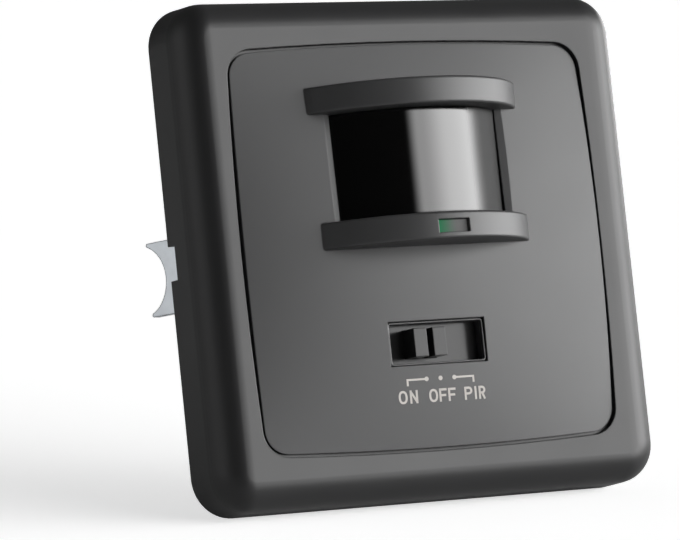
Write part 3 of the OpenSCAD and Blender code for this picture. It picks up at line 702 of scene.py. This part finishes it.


def plated(name, colour, roughness, streak, softness=0.2 * MM, painted_edge_shade=0.0):
    """Plated steel with fine lines, faint clouds, and painted shade that darkens its edges by a share.

    A streak below 1 draws the lines out along z.
    """
    material, wire, shader = new_material(name)
    place, _ = object_place(wire)
    stretched = wire.node("ShaderNodeMapping", None, {"Vector": place, "Scale": (1, 1, streak)})
    lines = wire.noise(stretched, size=0.12 * MM)
    cloud = wire.noise(place, size=2.5 * MM, detail=3.0)
    base = cloud.tints(colour, dark=0.84, light=1.1)
    soft = wire.soft_normal(softness)
    # painted shade: edges darkened where the soft normal turns from the true one, standing in for the dark
    # surroundings that they reflect
    if painted_edge_shade:
        true = wire.node("ShaderNodeNewGeometry", output="Normal")
        agree = wire.node("ShaderNodeVectorMath", {"operation": "DOT_PRODUCT"}, {0: soft, 1: true}, "Value")
        edge = 1 - agree.ease(*EDGE_AGREEMENT)
        base = (painted_edge_shade * edge).colours(base, shade(colour, EDGE_SHADE))
    finish = roughness + lines.swing(0.16) + cloud.swing(0.1)
    dress(wire, shader, base_color=base, metallic=1.0, roughness=finish,
          normal=wire.bump(lines * STREAK_HEIGHT, soft))
    return material


def tube(shape):
    """Index of a grid of points, and the faces between its rows, with its columns closed round."""
    index = np.arange(math.prod(shape)).reshape(shape)
    beside = np.roll(index, -1, 1)
    faces = np.stack([index[:-1], index[1:], beside[1:], beside[:-1]], -1)
    return index, faces.reshape(-1, 4).tolist()


def welded(points, faces):
    """Points without doubles, and faces without the corners that fall together."""
    kept, place = np.unique(points.round(8), axis=0, return_inverse=True)
    corners = [list(dict.fromkeys(face)) for face in place.reshape(-1)[np.asarray(faces)].tolist()]
    return kept, [face for face in corners if len(face) > 2]


RIM_CHORDS = 17  # chords from a screw head's rim to its slot
SLOT_CHORDS = 5  # chords across the slot
CHORD_POINTS = 9  # points along each chord


def slotted_head(front):
    """Points and faces of a round head about y with a slot along z: a loop for each chord of the circle.

    Each chord's loop runs over the front from one rim to the other and back behind the head. Chords between
    the slot's two edges lie half the head's height deeper in front.
    """
    radius, height = SCREW_HEAD
    edge = math.acos(SCREW_SLOT / 2 / radius)
    side = radius * np.cos(np.linspace(np.pi, np.pi - edge, RIM_CHORDS))
    floor = np.linspace(-SCREW_SLOT / 2, SCREW_SLOT / 2, SLOT_CHORDS)
    chord = np.concatenate([side, floor, -side[::-1]])
    level = np.zeros(RIM_CHORDS)
    deep = np.concatenate([level, np.full(SLOT_CHORDS, height / 2), level])
    reach = np.sqrt(np.maximum(radius ** 2 - chord ** 2, 0))
    share = np.linspace(-1, 1, CHORD_POINTS)
    z = reach[:, None] * np.concatenate([share, share[::-1]])
    ahead = np.repeat(deep[:, None], CHORD_POINTS, 1)
    behind = np.full(ahead.shape, height)
    y = np.concatenate([ahead, behind], 1) + front
    points = np.stack([np.broadcast_to(chord[:, None], z.shape), y, z], -1).reshape(-1, 3)
    _, faces = tube(z.shape)
    return welded(points, faces)


THREAD_SIDES = 32  # points in each ring
THREAD_RINGS = 8  # rings in each turn of the thread
THREAD_DEPTH = 0.5  # depth of the thread, as a share of its pitch


def threaded_shaft(start, end, pitch):
    """Points and faces of a threaded shaft along y: rings whose radius dips once per pitch and per turn.

    The thread runs out within one pitch of the shaft's start, and the last ring is turned down to the root.
    """
    depth = THREAD_DEPTH * pitch
    turn = np.linspace(0, 2 * np.pi, THREAD_SIDES, endpoint=False)
    y = np.linspace(start, end, int(THREAD_RINGS * (end - start) / pitch))[:, None]
    phase = (y / pitch + turn / (2 * np.pi)) % 1
    cut = depth * (1 - np.abs(2 * phase - 1)) * np.clip((y - start) / pitch, 0, 1)
    radius = np.minimum(SCREW_RADIUS - cut, SCREW_RADIUS - depth + end - y)
    rings = np.stack([radius * np.cos(turn), np.broadcast_to(y, radius.shape), radius * np.sin(turn)], -1)
    index, faces = tube(radius.shape)
    return rings.reshape(-1, 3), faces + [index[0].tolist(), index[-1][::-1].tolist()]


SHAFT_START = 0.75  # start of a claw screw's shaft inside its head, as a share of the head's height


class SWITCH_OT_metal(bpy.types.Operator):
    """Plates the ring, the claws, their pins and nuts, and makes the claws' threaded screws"""
    bl_idname = "switch.metal"
    bl_label = "Metal"

    def execute(self, context):
        zinc = tuple(context.scene.switch_colours.zinc)
        pitch = context.scene.switch_sizes.thread_pitch
        zinc_steel = plated("zinc_steel", zinc, roughness=0.38, streak=0.2)
        # the claws get painted shade on their edges
        claw_steel = plated("claw_steel", zinc, roughness=0.38, streak=0.2, softness=0.35 * MM,
                            painted_edge_shade=0.9)
        screw_steel = plated("screw_steel", STEEL, roughness=0.3, streak=1.0)
        thread_steel = plated("thread_steel", STEEL, roughness=0.3, streak=1.0, softness=0.02 * MM)
        can_steel = plated("can_steel", STEEL, roughness=0.3, streak=1.0)
        clamp_brass = plated("clamp_brass", BRASS, roughness=0.32, streak=1.0)
        coat(zinc_steel, "mounting_ring", "claw_pins", "left_claw_nut", "right_claw_nut")
        coat(claw_steel, "left_claw", "right_claw")
        coat(screw_steel, "housing_screws", "terminal_screws")
        coat(can_steel, "detector_can", "slide_switch_shell")
        coat(clamp_brass, "terminal_clamps", "header_pins")
        for node in ("left_claw_screw", "right_claw_screw"):
            low, high = np.array(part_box(node))
            axis = (low + high) / 2 * (1, 0, 1)
            shaft = threaded_shaft(low[1] + SHAFT_START * SCREW_HEAD[1], high[1], pitch)
            points, faces = joined([slotted_head(low[1]), shaft])
            piece = make_piece(node + "_threaded", points + axis, faces, thread_steel, node, "screw_steel")
            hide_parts(node)
        return {"FINISHED"}


TRACK_PITCH = 2.54 * MM  # from track to track on a circuit board
TRACK_EDGE = (0.6, 0.7)  # heights of the ridge over which a track's side rises
TRACK_HEIGHT = 0.02 * MM
PATCH_EDGE = (0.45, 0.55)  # noise over which upright tracks give way to level ones


def solder_mask(name, colour):
    """Lacquered circuit board: lighter tracks a tenth of an inch apart, broken up by noise."""
    material, wire, shader = new_material(name)
    place, (x, _, z) = object_place(wire)
    patch = wire.noise(place, size=5 * MM, detail=1.0).ease(*PATCH_EDGE)
    upright = (x / TRACK_PITCH).ridge().ease(*TRACK_EDGE)
    level = (z / TRACK_PITCH).ridge().ease(*TRACK_EDGE)
    track = patch * upright + (1 - patch) * level
    dress(wire, shader, base_color=track.tints(colour, dark=1.0, light=2.2), roughness=0.35 - 0.08 * track,
          normal=wire.bump(track * TRACK_HEIGHT, wire.soft_normal(0.1 * MM)))
    return material


TIN = (0.62, 0.62, 0.63)
BAND_EDGE = (0.45, 0.55)  # edge of a painted band, as shares of its width from its middle
WIRE_BLEND = 0.05 * MM  # length over which the body gives way to its wires


def axial(name, node, along, body, ground, bands, ink):
    """Wired part: a lacquered body of a given length with painted bands, and tinned wires beyond its ends.

    Its axis is a number, 0 for x and 2 for z. Each band is a place along it, from the middle, and a width.
    """
    material, wire, shader = new_material(name)
    place, axes = object_place(wire)
    low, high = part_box(node)
    reach = axes[along] - (low[along] + high[along]) / 2
    mottle = wire.noise(place, size=0.8 * MM)
    paint = 0.0
    for middle, width in bands:
        edge = [share * width for share in BAND_EDGE]
        paint = paint + (1 - (reach - middle).size().ease(*edge))
    wires = reach.size().ease(body / 2, body / 2 + WIRE_BLEND)
    lacquer = paint.colours(mottle.tints(ground, dark=0.85, light=1.15), ink)
    dress(wire, shader, base_color=wires.colours(lacquer, TIN), metallic=wires,
          roughness=0.45 - 0.15 * wires + mottle.swing(0.1), normal=wire.soft_normal(0.2 * MM))
    return material


# Plain plastics of the electronics: material, colour, roughness and the nodes that have it
PLAIN_PLASTICS = (
    ("black_plastic", (0.02, 0.02, 0.02), 0.5, ("slide_switch_base", "header_strips")),
    ("white_plastic", (0.75, 0.75, 0.71), 0.4, ("slide_stem", "time_dial", "brightness_dial")),
    ("filter_glass", (0.03, 0.03, 0.05), 0.1, ("detector_window",)),
    ("led_resin", (0.2, 0.6, 0.3), 0.3, ("status_led",)),
    ("photo_resin", (0.05, 0.05, 0.05), 0.2, ("light_sensor",)),
    ("trimmer_plastic", (0.02, 0.08, 0.28), 0.45, ("trimmer_bodies",)),
    ("relay_plastic", (0.015, 0.05, 0.2), 0.45, ("relay",)),
    ("film_plastic", (0.6, 0.42, 0.05), 0.4, ("film_capacitor",)),
    ("sleeve_plastic", (0.015, 0.015, 0.05), 0.3, ("smoothing_capacitor",)),
    ("terminal_plastic", (0.68, 0.68, 0.64), 0.42, ("terminal_block",)),
)
BOARD_GREEN = (0.012, 0.09, 0.035)

# Painted bands, each with its place from the middle and its width
DIODE_BANDS = ((1.5 * MM, 0.9 * MM),)
RESISTOR_BANDS = tuple((place * MM, 0.8 * MM) for place in (-2.6, -1.0, 0.6, 2.6))


class SWITCH_OT_electronics(bpy.types.Operator):
    """Colours the boards, their parts and the terminal block"""
    bl_idname = "switch.electronics"
    bl_label = "Electronics"

    def execute(self, context):
        sizes = context.scene.switch_sizes
        for name, colour, roughness, nodes in PLAIN_PLASTICS:
            coat(moulded(name, colour, sizes, roughness), *nodes)
        coat(solder_mask("board_resin", BOARD_GREEN), "sensor_board", "power_board")
        diode = axial("diode_plastic", "rectifier_diodes", along=2, body=5.1 * MM, ground=(0.02, 0.02, 0.02),
                      bands=DIODE_BANDS, ink=(0.6, 0.6, 0.58))
        resistor = axial("resistor_ceramic", "fuse_resistor", along=0, body=9 * MM, ground=(0.16, 0.3, 0.42),
                         bands=RESISTOR_BANDS, ink=(0.25, 0.05, 0.02))
        coat(diode, "rectifier_diodes")
        coat(resistor, "fuse_resistor")
        return {"FINISHED"}


# Studio light: a pair is the stretch over which an edge sets in or fades. Lefts, rights and the rise are
# degrees to the right of the front, feet and tops are degrees over level.
SOFTBOX_LEFT = (2, 14)
SOFTBOX_RIGHT = (66, 118)
SOFTBOX_RISE = (16, 44)  # stretch over which it gets to its full strength
SOFTBOX_START = 0.56  # share of its strength at its left edge
SOFTBOX_FOOT = (-9, -5)
SOFTBOX_TOP = (14, 18.5)
RIM_LEFT = (104, 120)
RIM_RIGHT = (128, 145)
RIM_SHARE = 0.52  # strength of the rim light, as a share of the softbox's
FILL_LEFT = (-132, -112)
FILL_RIGHT = (-96, -76)
FILL_FOOT = (-30, -5)
FILL_TOP = (10, 40)
GLOW_BEHIND = 0.05  # weak light from the back, and the stretch of y over which it sets in
GLOW_BACK = (-0.1, 0.9)
GLOW_ABOVE = 0.12  # weak light from the top, and the stretch of z over which it sets in
GLOW_TOP = (0.3, 1.0)
GLOW_ALL_ROUND = 0.02


def studio_light(wire, settings):
    """Radiance of the surroundings by direction: softbox and rim light at the right, fill at the left, glow.

    The softbox rises from a sharp left edge to its middle and fades towards its far side, top and bottom.
    """
    direction = wire.node("ShaderNodeTexCoord", output="Generated")
    x, y, z = direction.axes()
    turn = wire.maths("ARCTAN2", x, 0 - y) * (180 / math.pi)
    height = wire.maths("ARCSINE", z) * (180 / math.pi)
    strong = SOFTBOX_START + (1 - SOFTBOX_START) * turn.ease(*SOFTBOX_RISE)
    softbox = turn.band(SOFTBOX_LEFT, SOFTBOX_RIGHT) * strong
    rim = RIM_SHARE * turn.band(RIM_LEFT, RIM_RIGHT)
    key = (softbox + rim) * height.band(SOFTBOX_FOOT, SOFTBOX_TOP)
    fill = turn.band(FILL_LEFT, FILL_RIGHT) * height.band(FILL_FOOT, FILL_TOP)
    glow = GLOW_BEHIND * y.ease(*GLOW_BACK) + GLOW_ABOVE * z.ease(*GLOW_TOP)
    return key * settings.softbox_strength + settings.fill_strength * fill + glow + GLOW_ALL_ROUND


FLOOR_REACH = 8.0  # half the floor's width
FLOOR_WHITE = (0.85, 0.85, 0.85, 1)
FLOOR_GLOW = 0.6  # light of its own that the floor shows to the camera
FLOOR_MIRRORED = 0.06  # share of that light that shows in the gloss of the switch
PICTURE_WIDTH = 680
SENSOR_WIDTH = 36  # in millimetres, as Blender counts lenses


class SWITCH_OT_stage(bpy.types.Operator):
    """Sets the white floor, the studio light and the camera"""
    bl_idname = "switch.stage"
    bl_label = "Stage"

    def execute(self, context):
        settings = context.scene.switch_stage
        self.make_world(context, settings)
        self.make_floor(settings)
        self.make_camera(context, settings)
        context.scene.view_settings.view_transform = "Standard"
        return {"FINISHED"}

    def make_world(self, context, settings):
        """A world that is white to the camera and lights the switch from its studio."""
        world = bpy.data.worlds.new("studio")
        world.use_nodes = True
        context.scene.world = world
        tree = world.node_tree
        wire = Wire(tree)
        light = studio_light(wire, settings)
        seen = wire.node("ShaderNodeLightPath", output="Is Camera Ray")
        background = tree.nodes["Background"]
        background.inputs["Color"].default_value = (1, 1, 1, 1)
        wire.feed(background.inputs["Strength"], seen + (1 - seen) * light)

    def make_floor(self, settings):
        """A wide sheet under the frame's lower edge, from which the switch leans back."""
        up = Vector((0, -math.sin(settings.lean), math.cos(settings.lean)))
        across = Vector((1, 0, 0))
        ahead = up.cross(across)
        heel = Vector((0, 0, CAD_BOX[0][2]))
        corners = ((-1, -1), (1, -1), (1, 1), (-1, 1))
        points = np.array([heel + i * FLOOR_REACH * across + j * FLOOR_REACH * ahead for i, j in corners])
        material, wire, shader = new_material("white_floor")
        rays = ("Is Camera Ray", "Is Glossy Ray", "Is Transmission Ray")
        camera, mirror, glass = wire.node("ShaderNodeLightPath", output=rays)
        shown = (camera + glass).at_least(FLOOR_MIRRORED * mirror)
        dress(wire, shader, base_color=FLOOR_WHITE, roughness=0.9, specular_ior_level=0.0,
              emission_color=(1, 1, 1, 1), emission_strength=shown * FLOOR_GLOW)
        floor = mesh_object("floor", points, [[0, 1, 2, 3]], material)

    def make_camera(self, context, settings):
        """The camera at its distance from its target, turned about its view by its roll."""
        turn, rise, roll = settings.camera_azimuth, settings.camera_elevation, settings.camera_roll
        back = Vector((-math.sin(turn) * math.cos(rise), -math.cos(turn) * math.cos(rise), math.sin(rise)))
        level = Vector((math.cos(turn), -math.sin(turn), 0))
        upright = back.cross(level)
        right = level * math.cos(roll) + upright * math.sin(roll)
        up = upright * math.cos(roll) - level * math.sin(roll)
        data = bpy.data.cameras.new("photo_camera")
        data.sensor_width = SENSOR_WIDTH
        data.lens = settings.focal_pixels * SENSOR_WIDTH / PICTURE_WIDTH
        data.clip_start = 0.01
        data.clip_end = 100
        camera = bpy.data.objects.new("photo_camera", data)
        context.scene.collection.objects.link(camera)
        place = Vector(settings.camera_target) + back * settings.camera_distance
        turned = Matrix((right, up, back)).transposed().to_4x4()
        camera.matrix_world = Matrix.Translation(place) @ turned
        context.scene.camera = camera


OPERATORS = (SWITCH_OT_mouldings, SWITCH_OT_lens, SWITCH_OT_light_pipe, SWITCH_OT_legend, SWITCH_OT_metal,
             SWITCH_OT_electronics, SWITCH_OT_stage)


class SWITCH_PT_panel(bpy.types.Panel):
    """Buttons for the pieces and the stage"""
    bl_label = "Motion Sensor Switch"
    bl_idname = "SWITCH_PT_panel"
    bl_space_type = "VIEW_3D"
    bl_region_type = "UI"
    bl_category = "Switch"

    def draw(self, context):
        for operator in OPERATORS:
            self.layout.operator(operator.bl_idname)
        for group in (context.scene.switch_sizes, context.scene.switch_colours, context.scene.switch_stage):
            for name in group.__annotations__:
                self.layout.prop(group, name)


GROUPS = {"switch_sizes": SwitchSizes, "switch_colours": SwitchColours, "switch_stage": StageSettings}
CLASSES = (*GROUPS.values(), *OPERATORS, SWITCH_PT_panel)


def register():
    """Adds the classes to Blender, and the groups of settings to its scenes."""
    for item in CLASSES:
        bpy.utils.register_class(item)
    for name, group in GROUPS.items():
        setattr(bpy.types.Scene, name, bpy.props.PointerProperty(type=group))


def unregister():
    """Takes out what register put in."""
    for name in GROUPS:
        delattr(bpy.types.Scene, name)
    for item in reversed(CLASSES):
        bpy.utils.unregister_class(item)


def main():
    register()
    bpy.ops.switch.mouldings()
    bpy.ops.switch.lens()
    bpy.ops.switch.light_pipe()
    bpy.ops.switch.legend()
    bpy.ops.switch.metal()
    bpy.ops.switch.electronics()
    bpy.ops.switch.stage()


if __name__ == "__main__":
    main()
